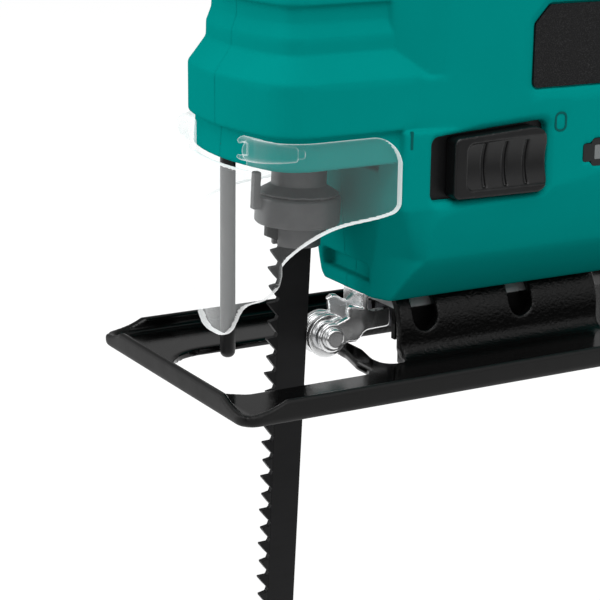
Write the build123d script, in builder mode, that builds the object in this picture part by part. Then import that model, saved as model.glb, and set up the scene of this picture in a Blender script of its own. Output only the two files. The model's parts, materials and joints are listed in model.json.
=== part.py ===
import os
from math import sin, cos, tan, atan, acos, pi, radians, sqrt
from build123d import *

os.makedirs("parts", exist_ok=True)

# ---------------------------------------------------------------- driving dimensions (mm)
# X forward (cutting direction), Y to the left of the tool, Z up, Z = 0 on the underside of the shoe
SHOE_FRONT, SHOE_REAR, SHOE_HALF = 26.6, -95.0, 29.0
SHOE_T, RIM_H = 1.6, 4.1
BEVEL_Z, ARCH_R, ARCH_T = 6.0, 10.6, 2.0
ARCH_X0, ARCH_X1 = -61.8, -16.2
SLOT_X = (-21.9, -43.6)
SLOT_W, SLOT_LOW = 5.2, 6.3
ROD_X, ROD_D = 14.3, 2.8
LEAN = radians(2.45)                 # the plunger leans: lower end forward
ROLLER_X, ROLLER_Z, ROLLER_R, GROOVE_R = -5.8, 5.1, 4.2, 3.5
PLUNGER_D = 8.0
CRANK = 7.5
GEAR_Z, GEAR_M, GEAR_N, PINION_N = 70.0, 0.7, 40, 9
MOTOR_Z = GEAR_Z - (GEAR_N + PINION_N) * GEAR_M / 2
CAN_R, CAN_X0, CAN_X1 = 17.0, -90.0, -38.0
NOSE_X, NOSE_R, NOSE_W, NOSE_C = 16.1, 48.0, 18.7, 7.0
NOSE_BOTTOM, HEAD_TOP = 40.3, 112.0
BODY_HALF = 24.0
BARREL_Z, BARREL_H, BARREL_X = 57.5, 53.0, -158.0
SWITCH_TRAVEL = 3.6
BLADE_T, BLADE_TOP, BLADE_TIP = 1.25, 36.0, -56.5
TOOTH_PITCH = 3.35
BATTERY_X = -196.0

# plunger frame: its own z runs along the plunger, level h is nearly height Z
RAM = Plane(origin=(30.0 * tan(LEAN), 0, 0), x_dir=(cos(LEAN), 0, sin(LEAN)), z_dir=(-sin(LEAN), 0, cos(LEAN)))
RAM_SIDE = Plane(origin=RAM.origin, x_dir=RAM.x_dir, z_dir=(0, -1, 0))   # u along RAM x, v along RAM z


def face_on(plane, pts, r=None):
    """Closed polygon face on a plane; r is one corner radius or a list, one per corner."""
    with BuildSketch(plane) as s:
        with BuildLine():
            Polyline(*pts, close=True)
        make_face()
        if isinstance(r, (int, float)):
            fillet(s.vertices(), r)
        elif r:
            vs = s.vertices()
            for (x, y), rad in zip(pts, r):
                if rad:
                    q = plane.from_local_coords(Vector(x, y, 0))
                    near = [v for v in s.vertices() if (Vector(v.X, v.Y, v.Z) - q).length < 1e-4]
                    near = near or [v for v in s.vertices() if (Vector(v.X, v.Y, v.Z) - Vector(x, y, 0)).length < 1e-4]
                    fillet(near, rad)
    return s.sketch


def mirror_y(right):
    """Right-hand points of a shape that is symmetric in its first coordinate, made whole."""
    return right + [(-a, b) for a, b in reversed(right) if abs(a) > 1e-9]


def nose(z, off, rear=-20.0):
    """Plan outline of the head at height z: shallow front arc, round corners, straight sides."""
    yc = NOSE_W - NOSE_C
    cx = NOSE_X - NOSE_R
    xc = cx + sqrt((NOSE_R - NOSE_C) ** 2 - yc ** 2)
    d = sqrt((xc - cx) ** 2 + yc ** 2)
    ux, uy = (xc - cx) / d, yc / d
    r, w, big = NOSE_C + off, NOSE_W + off, NOSE_R + off
    t = (cx + big * ux, big * uy)
    m = sqrt(0.5)
    bx, by = ux, uy + 1.0
    bl = sqrt(bx * bx + by * by)
    mid = (xc + r * bx / bl, yc + r * by / bl)
    with BuildSketch(Plane.XY.offset(z)) as s:
        with BuildLine():
            ThreePointArc((t[0], -t[1]), (NOSE_X + off, 0), t)
            ThreePointArc(t, mid, (xc, w))
            Line((xc, w), (rear, w))
            Line((rear, w), (rear, -w))
            Line((rear, -w), (xc, -w))
            ThreePointArc((xc, -w), (mid[0], -mid[1]), (t[0], -t[1]))
        make_face()
    return s.sketch


def gear_face(plane, n, thick, add, ded, rot):
    """Involute gear outline with some backlash."""
    m, r = GEAR_M, n * GEAR_M / 2
    rb, ra, rf = r * cos(radians(20)), r + add * GEAR_M, r - ded * GEAR_M
    inv20 = tan(radians(20)) - radians(20)
    half0 = thick * pi * m / 2 / r

    def half(q):
        if q <= rb:
            return half0 + inv20
        a = acos(rb / q)
        return half0 + inv20 - (tan(a) - a)

    lo = max(rb, rf)
    radii = [rf] + ([rb] if rb > rf + 0.02 else []) + [lo + (ra - lo) * k / 3 for k in (1, 2, 3)]
    pts = []
    for i in range(n):
        c = 2 * pi * i / n + rot
        pts += [(q * cos(c - half(q)), q * sin(c - half(q))) for q in radii]
        pts += [(q * cos(c + half(q)), q * sin(c + half(q))) for q in reversed(radii)]
    with BuildSketch(plane) as s:
        with BuildLine():
            Polyline(*pts, close=True)
        make_face()
    return s.sketch


def below(plane, curve, floor=0.0):
    """Face under a smooth curve, closed by straight lines at a floor level."""
    with BuildSketch(plane) as s:
        with BuildLine():
            Spline(*curve)
            Polyline(curve[-1], (curve[-1][0], floor), (curve[0][0], floor), curve[0])
        make_face()
    return s.sketch


def disc(plane, r, r_in=0.0, at=(0, 0)):
    with BuildSketch(plane) as s:
        with Locations(at):
            Circle(r)
            if r_in:
                Circle(r_in, mode=Mode.SUBTRACT)
    return s.sketch


def rect(plane, w, h, r=0.0, at=(0, 0)):
    with BuildSketch(plane) as s:
        with Locations(at):
            if r:
                RectangleRounded(w, h, r)
            else:
                Rectangle(w, h)
    return s.sketch


YZ = lambda x: Plane(origin=(x, 0, 0), x_dir=(0, 1, 0), z_dir=(1, 0, 0))          # u = Y, v = Z, extrudes forward
XZ = lambda y: Plane(origin=(0, y, 0), x_dir=(1, 0, 0), z_dir=(0, -1, 0))         # u = X, v = Z, extrudes to -Y
SIDE_ANGLE = 2.0 / 56.0                                                            # the flat sides widen to the rear
SIDE_L = Plane(origin=(-24, 22.0, 0), x_dir=(1, -SIDE_ANGLE, 0), z_dir=(SIDE_ANGLE, 1, 0))
SIDE_R = Plane(origin=(-24, -22.0, 0), x_dir=(1, SIDE_ANGLE, 0), z_dir=(SIDE_ANGLE, -1, 0))


def side_pts(pts, left=True):
    """X, Z points brought to a side plane's own coordinates; v points down on the left plane."""
    k = sqrt(1 + SIDE_ANGLE ** 2)
    return [((x + 24) * k, (-z if left else z)) for x, z in pts]


# ---------------------------------------------------------------- housing, both halves
section = mirror_y([(12.2, 13.2), (19.0, 22.0), (20.4, 26.5), (22.6, 34.0), (25.0, 46.0), (25.0, 66.0), (22.0, 78.0),
                    (18.0, 92.0), (13.5, 105.0), (7.5, HEAD_TOP)])
f_section = face_on(YZ(-82.0), section, [2.0, 4, 8, 10, 10, 14, 20, 20, 8, 8, 8, 8, 20, 20, 14, 10, 10, 8, 4, 2.0])
plan_low = [(b, a) for a, b in mirror_y([(10.0, -9.8), (17.4, -14.2), (20.9, -17.6), (22.0, -24.0), (24.0, -80.0), (24.0, -86.0)])]
plan_mid = [(b, a) for a, b in mirror_y([(14.0, -9.2), (20.3, -9.9), (21.6, -16.0), (22.0, -24.0), (24.0, -80.0), (24.0, -86.0)])]
plan_belt = [(b, a) for a, b in mirror_y([(16.0, -8.6), (19.3, -11.6), (20.95, -17.6), (22.0, -24.0), (24.0, -80.0), (24.0, -86.0)])]
plan_up = [(b, a) for a, b in mirror_y([(16.0, -8.6), (20.9, -17.6), (22.0, -24.0), (24.0, -80.0), (24.0, -86.0)])]
R_LOW = [2.5, 4, 4, 10, 40, 0, 0, 40, 10, 4, 4, 2.5]
R_MID = [2.0, 0.8, 10, 10, 40, 0, 0, 40, 10, 10, 0.8, 2.0]
plan_toe = [(b, a) for a, b in mirror_y([(6.2, -10.6), (16.4, -14.6), (20.9, -17.6), (22.0, -24.0), (24.0, -80.0), (24.0, -86.0)])]
f_low = face_on(Plane.XY.offset(10), plan_toe, R_LOW)
f_low_top = face_on(Plane.XY.offset(22), plan_low, R_LOW)
f_mid_bottom = face_on(Plane.XY.offset(32), plan_mid, R_MID)
f_mid = face_on(Plane.XY.offset(32), plan_mid, R_MID)
f_belt = face_on(Plane.XY.offset(45), plan_belt, [2.0, 4, 10, 10, 40, 0, 0, 40, 10, 10, 4, 2.0])
f_up = face_on(Plane.XY.offset(50), plan_up, [2.0, 5, 10, 40, 0, 0, 40, 10, 5, 2.0])
profile = [(-10.8, 13.0), (-9.0, 34.0), (-8.0, 46.0), (-8.0, 100.0), (-13.0, 108.5), (-22.0, HEAD_TOP), (-44.0, HEAD_TOP - 1.0),
           (-60.0, 98.0), (-72.0, 86.5), (-82.0, 84.0), (-82.0, 31.2), (-77.0, 30.6), (-70.0, 26.0), (-62.0, 13.0)]
f_profile = face_on(XZ(40), profile, [0, 8, 8, 12, 8, 12, 20, 30, 20, 0, 0, 12, 12, 0])
f_barrel = rect(YZ(BARREL_X), 2 * BODY_HALF, BARREL_H, 20.0, at=(0, BARREL_Z))
f_rear = rect(YZ(-84.0), 2 * BODY_HALF + 0.4, BARREL_H + 0.4, 20.2, at=(0, BARREL_Z))
f_collar = rect(YZ(BARREL_X), 2 * BODY_HALF + 3.0, BARREL_H + 3.0, 17.0, at=(0, BARREL_Z))
f_grip_band = rect(YZ(-148.0), 2 * BODY_HALF - 2.4, BARREL_H - 2.4, 18.8, at=(0, BARREL_Z))
f_grip_blank = rect(YZ(-148.0), 80, 90, at=(0, BARREL_Z))

with BuildPart() as main_body:
    loft([f_low, f_low_top], ruled=True)
    loft([f_low_top, f_mid_bottom], ruled=True)
    extrude(f_mid, amount=14.2)
    extrude(f_belt, amount=10.5)
    extrude(f_up, amount=66)
    extrude(f_section, amount=76, mode=Mode.INTERSECT)
    extrude(f_profile, amount=80, mode=Mode.INTERSECT)
    extrude(f_rear, amount=77, taper=-40, mode=Mode.INTERSECT)

levels = [(NOSE_BOTTOM, 0.0, 46.3, -0.45), (46.3, 0.9, 55.5, 0.95), (55.5, 0.95, 60.0, -2.3), (60.0, -2.3, 62.8, -2.35),
          (62.8, -2.35, 65.3, -3.3), (65.3, -3.3, 68.2, -3.35), (68.2, -2.4, 72.0, -2.6), (72.0, -2.6, 92.0, -4.4)]
steps = [(nose(z0, o0), z1 - z0, (o0 - o1) / (z1 - z0)) for z0, o0, z1, o1 in levels]
f_top = nose(92.0, -4.4)
f_section_head = face_on(YZ(-25.0), section, [2.0, 4, 8, 10, 10, 14, 20, 20, 8, 8, 8, 8, 20, 20, 14, 10, 10, 8, 4, 2.0])
hood = [(22, 30), (22, 78), (17, 86), (12, 97), (3, 107), (-8, 111), (-16, HEAD_TOP), (-30, HEAD_TOP), (-30, 30)]
f_hood = face_on(XZ(40), hood, [0, 12, 16, 20, 20, 20, 8, 0, 0])

with BuildPart() as head_block:
    for f, dz, slope in steps:
        extrude(f, amount=dz, taper=0 if abs(slope) < 1e-6 else 180 / pi * atan(slope))
    extrude(f_top, amount=18.0)
    extrude(f_hood, amount=80, mode=Mode.INTERSECT)
    extrude(f_section_head, amount=60, mode=Mode.INTERSECT)

with BuildPart() as housing_outer:
    add(main_body.part)
    add(head_block.part)
    extrude(f_barrel, amount=-BARREL_X - 74)
    extrude(f_collar, amount=9.0)

# hollow of the housing
f_cav_front = rect(Plane.XY.offset(38), 21.6, 26.4, 4.0, at=(-0.2, 0))
f_cav_upper = rect(Plane.XY.offset(66), 19.6, 26.4, 4.0, at=(-1.2, 0))
f_cav_yoke = rect(Plane.XY.offset(43), 12.0, 26.4, at=(-10.0, 0))
f_cav_gear = rect(Plane.XY.offset(43), 25.5, 31.6, 1.5, at=(-23.75, 0))
f_cav_top = rect(Plane.XY.offset(92), 12.0, 12.0, 4.0, at=(-3.0, 0))
f_cav_motor = disc(Plane(origin=(-95, 0, MOTOR_Z), x_dir=(0, 1, 0), z_dir=(1, 0, 0)), 18.2)
f_cav_low = rect(Plane.XY.offset(25), 31.0, 30.0, 3.0, at=(-40.5, 1.0))
f_cav_handle = rect(YZ(BARREL_X - 1), 41.5, 45.0, 14.0, at=(0, BARREL_Z))
f_seat = disc(Plane(origin=(-70, 0, BEVEL_Z), x_dir=(0, 1, 0), z_dir=(1, 0, 0)), ARCH_R + 0.4)
f_dust = rect(YZ(-12.6), 16.0, 3.3, 0.5, at=(-0.2, 17.8))
f_bracket_pocket = rect(Plane.XY.offset(12), 1.8, 7.4, at=(-14.9, 0))
f_rod_hole = disc(Plane.XY.offset(38), ROD_D / 2, at=(ROD_X, 0))
SCREWS = [(6.9, 96.4, -9.5), (-30.0, 100.5, -9.5), (-60.0, 80.5, -14.4), (-98.0, 76.3, -13.0), (-98.0, 38.7, -13.0),
          (-30.5, 21.0, -10.0), (-54.0, 21.4, -10.0)]
label_pts = [(-79.0, 51.9), (-35.4, 51.9), (-35.4, 63.7), (-38.6, 67.2), (-79.0, 67.2)]
label_in = [(-78.7, 52.2), (-35.7, 52.2), (-35.7, 63.6), (-38.75, 66.9), (-78.7, 66.9)]
gauge_pts = [(-66.0, 37.0), (-48.8, 37.0), (-48.8, 37.9), (-47.0, 37.9), (-47.0, 41.2), (-48.8, 41.2), (-48.8, 42.1), (-66.0, 42.1)]
recess_pts = [(-39.0, 33.0), (-14.9, 33.2), (-14.9, 44.8), (-39.0, 46.4)]
knob_pts = [(-38.6, 33.5), (-18.7, 33.6), (-18.7, 44.6), (-38.6, 45.8)]
VENTS = (-83.5, -87.0, -90.5, -94.0)

f_label_l = face_on(SIDE_L.offset(-1.4), side_pts(label_pts), [1.2, 1.2, 1.0, 1.0, 1.2])
f_label_r = face_on(SIDE_R.offset(-1.4), side_pts(label_pts, False), [1.2, 1.2, 1.0, 1.0, 1.2])
f_label_rim_l = face_on(SIDE_L.offset(-0.7), side_pts(label_pts), [1.2, 1.2, 1.0, 1.0, 1.2])
f_label_rim_r = face_on(SIDE_R.offset(-0.7), side_pts(label_pts, False), [1.2, 1.2, 1.0, 1.0, 1.2])
f_gauge = face_on(SIDE_L.offset(-1.2), side_pts(gauge_pts), [0.8, 0.8, 0, 0.4, 0.4, 0, 0.8, 0.8])
f_recess = face_on(SIDE_L.offset(-2.6), side_pts(recess_pts), 1.5)
f_recess_rim = face_on(SIDE_L.offset(-0.8), side_pts(recess_pts), 1.5)
f_stem_slot = face_on(SIDE_L.offset(-9), side_pts([(-31.4, 33.6), (-22.9, 33.6), (-22.9, 37.9), (-31.4, 37.9)]), 0.6)
SHOULDER = Plane(origin=(-11.0, 20.3 + 1.1 * 1.3 / 6.1, 44.6), x_dir=(6.1, -1.3, 0), z_dir=(1.3, 6.1, 0))
f_mark_i = rect(SHOULDER.offset(-0.12), 0.55, 3.2)
with BuildSketch(SIDE_L.offset(-0.12)) as mark_o:
    with Locations(side_pts([(-41.5, 45.85)])[0]):
        RectangleRounded(2.6, 3.6, 1.15)
        RectangleRounded(1.7, 2.7, 0.7, mode=Mode.SUBTRACT)
f_mark_o = mark_o.sketch

with BuildPart() as housing_shell:
    add(housing_outer.part)
    extrude(f_cav_front, amount=30, mode=Mode.SUBTRACT)
    extrude(f_cav_upper, amount=27, mode=Mode.SUBTRACT)
    extrude(f_cav_gear, amount=51.5, mode=Mode.SUBTRACT)
    extrude(f_cav_yoke, amount=50, mode=Mode.SUBTRACT)
    extrude(f_cav_top, amount=13.8, mode=Mode.SUBTRACT)
    extrude(f_cav_motor, amount=60, mode=Mode.SUBTRACT)
    extrude(f_cav_low, amount=15, mode=Mode.SUBTRACT)
    extrude(f_cav_handle, amount=64, mode=Mode.SUBTRACT)
    for x, z, y0 in SCREWS:
        with Locations(Location((x, 0, z), (90, 0, 0))):
            Cylinder(3.4, 2 * abs(y0) + 2)
    for x, z, y0 in SCREWS:
        with Locations(Location((x, (9.0 + y0) / 2, z), (90, 0, 0))):
            Cylinder(1.6, 9.0 - y0, mode=Mode.SUBTRACT)
        with Locations(Location((x, y0 - 15.0, z), (90, 0, 0))):
            Cylinder(3.5, 30.0, mode=Mode.SUBTRACT)
    extrude(f_seat, amount=54.6, mode=Mode.SUBTRACT)
    extrude(f_dust, amount=8, mode=Mode.SUBTRACT)
    extrude(f_bracket_pocket, amount=14, mode=Mode.SUBTRACT)
    extrude(f_rod_hole, amount=8.4, mode=Mode.SUBTRACT)
    for x in SLOT_X:
        with Locations((x, 0, 20)):
            Cylinder(2.5, 14, mode=Mode.SUBTRACT)
    for f in (f_label_l, f_label_r, f_gauge):
        extrude(f, amount=12, mode=Mode.SUBTRACT)
    for f in (f_label_rim_l, f_label_rim_r):
        extrude(f, amount=1.0, taper=-66, mode=Mode.SUBTRACT)
    extrude(f_recess, amount=12, mode=Mode.SUBTRACT)
    extrude(f_recess_rim, amount=1.1, taper=-57, mode=Mode.SUBTRACT)
    extrude(f_stem_slot, amount=12, mode=Mode.SUBTRACT)
    extrude(f_mark_i, amount=2, mode=Mode.SUBTRACT)
    extrude(f_mark_o, amount=2, mode=Mode.SUBTRACT)
    for x in VENTS:
        with Locations((x, 0, 57.5)):
            Box(1.6, 60, 13, mode=Mode.SUBTRACT)
with BuildPart() as grip_ring:
    extrude(f_grip_blank, amount=44)
    extrude(f_grip_band, amount=44, mode=Mode.SUBTRACT)

with BuildPart() as left_housing:
    add(housing_shell.part)
    add(grip_ring.part, mode=Mode.SUBTRACT)
    with Locations((-70, 50, 70)):
        Box(300, 100, 200, mode=Mode.INTERSECT)
with BuildPart() as right_housing:
    add(housing_shell.part)
    add(grip_ring.part, mode=Mode.SUBTRACT)
    with Locations((-70, -50, 70)):
        Box(300, 100, 200, mode=Mode.INTERSECT)

with BuildPart() as housing_screws:
    for x, z, y0 in SCREWS:
        with Locations(Location((x, (9.0 + y0) / 2, z), (90, 0, 0))):
            Cylinder(1.6, 9.0 - y0)
        with Locations(Location((x, y0 - 1.2, z), (90, 0, 0))):
            Cylinder(3.2, 2.4)
        with Locations(Location((x, y0 - 2.0, z), (90, 0, 0))):
            Box(3.6, 0.9, 2.0, mode=Mode.SUBTRACT)
            Box(0.9, 3.6, 2.0, mode=Mode.SUBTRACT)

f_grip_out = rect(YZ(-147.8), 2 * BODY_HALF + 1.2, BARREL_H + 1.2, 20.6, at=(0, BARREL_Z))
f_grip_in = rect(YZ(-147.8), 2 * BODY_HALF - 2.4, BARREL_H - 2.4, 18.8, at=(0, BARREL_Z))
with BuildPart() as grip_sleeve:
    extrude(f_grip_out, amount=43.6)
    fillet(grip_sleeve.edges().filter_by(GeomType.LINE, reverse=True).group_by(Axis.X)[0], 0.5)
    extrude(f_grip_in, amount=43.6, mode=Mode.SUBTRACT)
    for i in range(9):
        with Locations((-143.0 + 4.4 * i, 0, BARREL_Z - 26.9)):
            Box(1.4, 26, 1.0, mode=Mode.SUBTRACT)

f_plate_l = face_on(SIDE_L.offset(-1.4), side_pts(label_in), [1.0, 1.0, 0.9, 0.9, 1.0])
f_plate_r = face_on(SIDE_R.offset(-1.4), side_pts(label_in, False), [1.0, 1.0, 0.9, 0.9, 1.0])
with BuildPart() as label_plate_left:
    extrude(f_plate_l, amount=0.6)
with BuildPart() as label_plate_right:
    extrude(f_plate_r, amount=0.6)

f_gauge_in = face_on(SIDE_L.offset(-1.2), side_pts([(x, z) for x, z in gauge_pts]), [0.8, 0.8, 0, 0.4, 0.4, 0, 0.8, 0.8])
led_x = (-49.5, -53.0, -56.5, -60.0)
f_leds = [face_on(SIDE_L.offset(-0.6), side_pts([(x - 2.2, 38.2), (x, 38.2), (x, 40.9), (x - 2.2, 40.9)]), 0.3) for x in led_x]
with BuildPart() as gauge_window:
    extrude(f_gauge_in, amount=0.9)
    for f in f_leds:
        extrude(f, amount=2, mode=Mode.SUBTRACT)
with BuildPart() as gauge_leds:
    for f in f_leds:
        extrude(f, amount=0.25)

# ---------------------------------------------------------------- gear case, bushes, motor
f_case_plate = rect(YZ(-32), 31.6, 51.5, 1.0, at=(0, 68.75))
with BuildPart() as gear_case:
    extrude(f_case_plate, amount=8)
    with Locations((-14.5, 0, 45.5)):
        Box(20, 16, 5.0)
    with Locations((-11.5, 0, 89.8)):
        Box(26, 14, 5.4)
    extrude(disc(RAM.offset(43.05), 7.6), amount=2.0)
    extrude(disc(RAM.offset(44.8), 8.6), amount=8.65)
    extrude(disc(RAM.offset(87.5), 8.4), amount=4.9)
    extrude(disc(RAM.offset(40), 6.5), amount=70, mode=Mode.SUBTRACT)
    with Locations(Location((-28, 0, MOTOR_Z), (0, 90, 0))):
        Cylinder(6.5, 20, mode=Mode.SUBTRACT)
    with Locations(Location((-28, 0, GEAR_Z), (0, 90, 0))):
        Cylinder(3.5, 20, mode=Mode.SUBTRACT)
    for y in (-11, 11):
        for z in (58, 82):
            with Locations(Location((-28, y, z), (0, 90, 0))):
                Cylinder(2.4, 20, mode=Mode.SUBTRACT)
with BuildPart() as lower_bush:
    extrude(disc(RAM.offset(48.5), 6.5, PLUNGER_D / 2 + 0.05), amount=5.0)
with BuildPart() as plunger_seal:
    extrude(disc(RAM.offset(47.0), 6.5, PLUNGER_D / 2 + 0.05), amount=1.5)
with BuildPart() as upper_bush:
    extrude(disc(RAM.offset(87.6), 6.5, PLUNGER_D / 2 + 0.05), amount=4.8)


def shaft_plane(x, z):
    return Plane(origin=(x, 0, z), x_dir=(0, 1, 0), z_dir=(1, 0, 0))


with BuildPart() as gear_axle:
    extrude(disc(shaft_plane(-32, GEAR_Z), 3.5), amount=20.4)
with BuildPart() as front_bearing:
    extrude(disc(shaft_plane(-31, MOTOR_Z), 6.5, 2.05), amount=5)
    chamfer(front_bearing.edges().filter_by(GeomType.CIRCLE), 0.3)
with BuildPart() as motor_can:
    extrude(disc(shaft_plane(CAN_X0, MOTOR_Z), CAN_R, 15.3), amount=CAN_X1 - CAN_X0)
    extrude(disc(shaft_plane(CAN_X1 - 1.5, MOTOR_Z), 15.6, 5.0), amount=1.5)
    for x in (-42.5, -83.0):
        with Locations((x, 0, MOTOR_Z)):
            Box(7, 8, 60, mode=Mode.SUBTRACT)
with BuildPart() as magnets:
    extrude(disc(shaft_plane(-77, MOTOR_Z), 15.3, 12.3), amount=29)
    with Locations((-62, 0, MOTOR_Z)):
        Box(60, 5, 60, mode=Mode.SUBTRACT)
with BuildPart() as motor_end_cap:
    extrude(disc(shaft_plane(-94.5, MOTOR_Z), CAN_R, 5.0), amount=4.5)
with BuildPart() as rear_bearing:
    extrude(disc(shaft_plane(-94.5, MOTOR_Z), 5.0, 2.05), amount=4.0)
with BuildPart() as motor_shaft:
    extrude(disc(shaft_plane(-96, MOTOR_Z), 2.0), amount=86)
with BuildPart() as pinion:
    extrude(gear_face(shaft_plane(-18, MOTOR_Z), PINION_N, 0.44, 0.8, 1.05, pi / 2), amount=7.5)
    extrude(disc(shaft_plane(-20, MOTOR_Z), 2.0), amount=12, mode=Mode.SUBTRACT)
with BuildPart() as armature_core:
    extrude(disc(shaft_plane(-78, MOTOR_Z), 11.7, 2.0), amount=31)
    for i in range(12):
        with Locations(Location((-62.5, 11.5 * cos(i * pi / 6), MOTOR_Z + 11.5 * sin(i * pi / 6)), (i * 30, 0, 0))):
            Box(40, 2.6, 1.2, mode=Mode.SUBTRACT)
with BuildPart() as commutator:
    extrude(disc(shaft_plane(-87.5, MOTOR_Z), 5.0, 2.0), amount=7)
with BuildPart() as cooling_fan:
    extrude(disc(shaft_plane(-45.6, MOTOR_Z), 13.6, 2.0), amount=1.2)
    extrude(disc(shaft_plane(-44.6, MOTOR_Z), 4.0, 2.0), amount=4.4)
    for i in range(9):
        with Locations(Location((-42.6, 8.6 * cos(i * pi / 4.5), MOTOR_Z + 8.6 * sin(i * pi / 4.5)), (i * 40, 0, 0))):
            Box(4.0, 9.6, 0.9)

# ---------------------------------------------------------------- drive gear, plunger, blade clamp
with BuildPart() as drive_gear:
    extrude(gear_face(shaft_plane(-17, GEAR_Z), GEAR_N, 0.44, 0.6, 1.15, -pi / 2 + pi / GEAR_N), amount=6)
    extrude(disc(shaft_plane(-22, GEAR_Z), 7.0), amount=6)
    extrude(disc(shaft_plane(-23, GEAR_Z), 3.55), amount=14, mode=Mode.SUBTRACT)
    extrude(disc(shaft_plane(-23, GEAR_Z), 2.0, at=(CRANK, 0)), amount=14, mode=Mode.SUBTRACT)
    for a in (100, 180, 260):
        with Locations(Location((-14, 9.2 * cos(radians(a)), GEAR_Z + 9.2 * sin(radians(a))), (0, 90, 0))):
            Cylinder(2.2, 10, mode=Mode.SUBTRACT)
with BuildPart() as crank_pin:
    extrude(disc(shaft_plane(-17, GEAR_Z), 2.0, at=(CRANK, 0)), amount=11.2)
with BuildPart() as crank_roller:
    extrude(disc(shaft_plane(-10.4, GEAR_Z), 3.0, 2.0, at=(CRANK, 0)), amount=4.6)

FLAT_X = -3.0
f_flat = rect(RAM.offset(61.7), 10, 20, at=(FLAT_X - 5, 0))
with BuildPart() as plunger:
    extrude(disc(RAM.offset(36.2), PLUNGER_D / 2), amount=61.3)
    extrude(f_flat, amount=16.6, mode=Mode.SUBTRACT)
    chamfer(plunger.edges().filter_by(GeomType.CIRCLE).sort_by(Axis.Z)[-1], 0.6)
f_yoke = rect(Plane(origin=RAM.from_local_coords(Vector(FLAT_X, 0, 70.06)), x_dir=(0, 1, 0), z_dir=RAM.x_dir * -1), 25.4, 16.0, 1.5)
f_yoke_slot = rect(Plane(origin=RAM.from_local_coords(Vector(FLAT_X + 1, 0, 70.06)), x_dir=(0, 1, 0), z_dir=RAM.x_dir * -1), 21.8, 9.9, 3.0)
with BuildPart() as yoke:
    extrude(f_yoke, amount=4.4)
    extrude(f_yoke_slot, amount=8, mode=Mode.SUBTRACT)

f_shank_slot = rect(RAM.offset(20), 6.8, BLADE_T + 0.06)
f_lug_slot = rect(RAM.offset(20), 16, BLADE_T + 0.06)
with BuildPart() as clamp_body:
    extrude(disc(RAM.offset(23.0), 4.5), amount=11.0)
    extrude(disc(RAM.offset(32.5), 7.45), amount=0.3)
    extrude(disc(RAM.offset(32.8), 7.45), amount=1.4, taper=59.0)
    extrude(disc(RAM.offset(34.0), 5.05), amount=4.5)
    extrude(disc(RAM.offset(36.2), PLUNGER_D / 2), amount=4, mode=Mode.SUBTRACT)
    extrude(f_shank_slot, amount=16.1, mode=Mode.SUBTRACT)
    extrude(f_lug_slot, amount=6.9, mode=Mode.SUBTRACT)
with BuildPart() as clamp_collar:
    extrude(disc(RAM.offset(27.0), 7.8), amount=5.4)
    chamfer(clamp_collar.edges().filter_by(GeomType.CIRCLE), 0.4)
    with Locations(RAM.location):
        with Locations((8.1, -0.4, 31.0)):
            Box(2.4, 1.6, 2.2)
        with Locations((8.6, -0.4, 33.8)):
            Box(1.4, 1.6, 6.0)
    extrude(disc(RAM.offset(26.5), 4.8), amount=8, mode=Mode.SUBTRACT)
    extrude(disc(RAM.offset(29.6), 6.6), amount=8, mode=Mode.SUBTRACT)
spring_plane = RAM.offset(30.3)
with BuildPart() as clamp_spring:
    with BuildLine(spring_plane):
        coil = Helix(pitch=0.95, height=1.6, radius=5.5)
    with BuildSketch(Plane(origin=coil @ 0, z_dir=coil % 0)):
        Circle(0.38)
    sweep()

# blade: u forward, v up along the plunger
back = -2.98
first, last = 22.3, -50.5
teeth = []
v = first
while v > last:
    tip = 5.2 - (20 - v) * 0.0107
    teeth += [(tip - 1.75, v + 0.55), (tip - 1.55, v + 0.2), (tip, v), (tip - 0.05, v - 0.35), (tip - 1.1, v - 1.6), (tip - 1.9, v - 2.45)]
    v -= TOOTH_PITCH
end_u = teeth[-1][0]
blade_pts = [(-3.3, BLADE_TOP - 1.0), (-2.3, BLADE_TOP), (2.3, BLADE_TOP), (3.3, BLADE_TOP - 1.0), (3.3, 26.7), (6.4, 26.7), (6.4, 24.9), (3.9, 23.9)]
blade_pts += teeth + [(end_u + 0.2, -53.0), (0.8, BLADE_TIP), (-0.4, BLADE_TIP), (back, -52.0), (back, 24.6), (-6.0, 24.9), (-6.0, 26.7), (-3.3, 26.7)]
f_blade = face_on(RAM_SIDE.offset(-BLADE_T / 2), blade_pts)
with BuildPart() as blade:
    extrude(f_blade, amount=BLADE_T)

# ---------------------------------------------------------------- rod, roller, shield
with BuildPart() as guard_rod:
    extrude(disc(Plane.XY.offset(3.4), ROD_D / 2, at=(ROD_X, 0)), amount=43.0)
    fillet(guard_rod.edges().filter_by(GeomType.CIRCLE).sort_by(Axis.Z)[0], 1.2)

arm = [(-14.6, 9.4), (-18.2, 9.6), (-18.2, 5.8), (-12.8, 5.6), (-11.2, 3.7), (-9.2, 3.7)]
f_near = face_on(XZ(3.7), [(-9.1, 10.5), (-10.0, 10.8), (-11.6, 10.3)] + arm, [0.5, 0.5, 2, 2, 0.8, 0.8, 2, 0.8, 0.5])
f_far = face_on(XZ(-2.5), [(-8.3, 10.9), (-9.2, 11.6), (-10.4, 11.3), (-11.6, 10.3)] + arm, [0.6, 0.6, 1, 2, 2, 0.8, 0.8, 2, 0.8, 0.5])
link = [(-6.2, 7.6), (-9.6, 8.8), (-9.6, 3.9), (-6.6, 2.7)]
f_link_near, f_link_far = face_on(XZ(3.7), link), face_on(XZ(-2.5), link)
f_ear_near, f_ear_far = disc(XZ(3.7), 2.8, at=(ROLLER_X, ROLLER_Z)), disc(XZ(-2.5), 2.8, at=(ROLLER_X, ROLLER_Z))
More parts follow.
